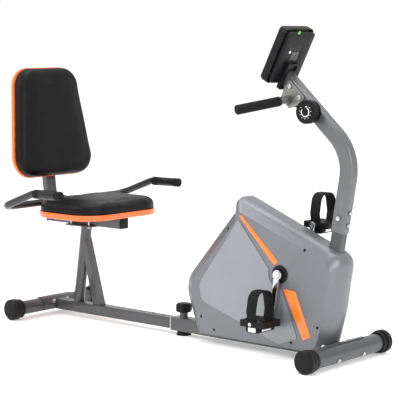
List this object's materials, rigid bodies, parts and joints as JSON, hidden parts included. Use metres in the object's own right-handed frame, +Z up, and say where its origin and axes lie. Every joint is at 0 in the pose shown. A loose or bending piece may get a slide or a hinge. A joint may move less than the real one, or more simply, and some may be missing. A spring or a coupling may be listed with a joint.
{
  "type": "exercise bike",
  "caption": "Recumbent magnetic exercise bike: sliding seat with backrest and side handles, belt-driven crank with strapped pedals, curved post with handlebar, tension knob and console.",
  "frame": {"origin": "on the floor, at the centre of the underside of the fixed rubber foot under the rear end of the main beam", "axes": "+X forwards, from the seat towards the console; +Y to the rider's left; +Z up"},
  "size_m": [1.4325, 0.65, 1.0716],
  "materials": {
    "frame_paint": "metallic satin",
    "post_paint": "metallic satin",
    "housing": "satin metallic",
    "orange_trim": "gloss",
    "orange_board": "satin",
    "black_plastic": "satin",
    "vinyl": "semi-gloss",
    "foam": "matte",
    "rubber": "matte",
    "chrome": "polished",
    "steel": "zinc plated",
    "cast_iron": "machined",
    "nylon": "satin",
    "console_grey": "satin",
    "lens": "clear tinted",
    "circuit": "satin"
  },
  "bodies": {
    "frame": {"front_stabilizer": "frame_paint", "main_frame": "frame_paint", "idler_arm": "frame_paint", "post": "post_paint", "handlebar": "post_paint", "handlebar_clamp": "post_paint", "console_mount": "post_paint", "shell_left": "housing", "shell_right": "housing", "housing_trim": "orange_trim", "shell_screws": "black_plastic", "front_caps": "black_plastic", "crank_rings": "black_plastic", "tension_knob_base": "black_plastic", "front_grips": "foam", "middle_foot": "rubber", "belt": "rubber", "front_bolts": "steel", "post_bolts": "steel", "bearings": "steel", "tension_cable": "steel", "sleeve_liner": "nylon", "console_back": "console_grey", "console_front": "console_grey", "battery_door": "console_grey", "console_lens": "lens", "console_board": "circuit"},
    "seat": {"rear_beam": "frame_paint", "rear_stabilizer": "frame_paint", "rear_caps": "black_plastic", "rear_bolts": "steel", "seat_post": "frame_paint", "seat_tube": "frame_paint", "seat_tube_plug": "black_plastic", "back_tube": "frame_paint", "seat_board": "orange_board", "seat_pad": "vinyl", "back_board": "orange_board", "back_pad": "vinyl", "side_handlebar": "frame_paint", "side_grips": "foam", "pulse_sensors": "chrome", "seat_bolts": "steel"},
    "crank": {"crank_axle": "steel", "drive_pulley": "black_plastic", "crank_left": "chrome", "crank_right": "chrome", "crank_hardware": "steel"},
    "pedal_right": {"pedal_right": "black_plastic", "strap_right": "rubber"},
    "pedal_left": {"pedal_left": "black_plastic", "strap_left": "rubber"},
    "flywheel": {"flywheel": "cast_iron", "flywheel_axle": "steel"},
    "idler": {"idler_wheel": "black_plastic"},
    "magnet": {"magnet_bracket": "frame_paint"},
    "lock_knob": {"lock_knob": "black_plastic"},
    "tension_knob": {"tension_knob": "black_plastic"},
    "console_button": {"console_button": "console_grey"}
  },
  "joints": [
    {"name": "seat_slide", "type": "slide", "parent": "frame", "child": "seat", "axis": [1, 0, 0], "range_m": [-0.094, 0.188]},
    {"name": "lock_knob_pull", "type": "slide", "parent": "frame", "child": "lock_knob", "axis": [0, 0, 1], "range_m": [0, 0.01]},
    {"name": "flywheel_spin", "type": "hinge", "parent": "frame", "child": "flywheel", "pos_m": [0.208, 0, 0.19], "axis": [0, 1, 0], "continuous": true},
    {"name": "crank_spin", "type": "hinge", "parent": "frame", "child": "crank", "pos_m": [0.466, 0, 0.272], "axis": [0, 1, 0], "continuous": true},
    {"name": "idler_spin", "type": "hinge", "parent": "frame", "child": "idler", "pos_m": [0.3335, 0, 0.14958], "axis": [0, 1, 0], "continuous": true},
    {"name": "pedal_right_spin", "type": "hinge", "parent": "crank", "child": "pedal_right", "pos_m": [0.44238, -0.138, 0.12286], "axis": [0, 1, 0], "continuous": true},
    {"name": "pedal_left_spin", "type": "hinge", "parent": "crank", "child": "pedal_left", "pos_m": [0.48962, 0.138, 0.42114], "axis": [0, 1, 0], "continuous": true},
    {"name": "tension_knob_turn", "type": "hinge", "parent": "frame", "child": "tension_knob", "pos_m": [0.55166, 0, 0.80047], "axis": [0, -1, 0], "range_deg": [0, 300]},
    {"name": "magnet_swing", "type": "hinge", "parent": "frame", "child": "magnet", "pos_m": [0.278, 0, 0.296], "axis": [0, 1, 0], "range_deg": [0, 4]},
    {"name": "console_button_press", "type": "slide", "parent": "frame", "child": "console_button", "axis": [0.8965, 0, -0.4431], "range_m": [0, 0.003], "stiffness_N_per_m": 400}
  ],
  "couplings": [
    {"joint": "crank_spin", "follows": "flywheel_spin", "ratio": 0.15454},
    {"joint": "idler_spin", "follows": "flywheel_spin", "ratio": -1.1333},
    {"joint": "magnet_swing", "follows": "tension_knob_turn", "ratio": 0.013333}
  ]
}
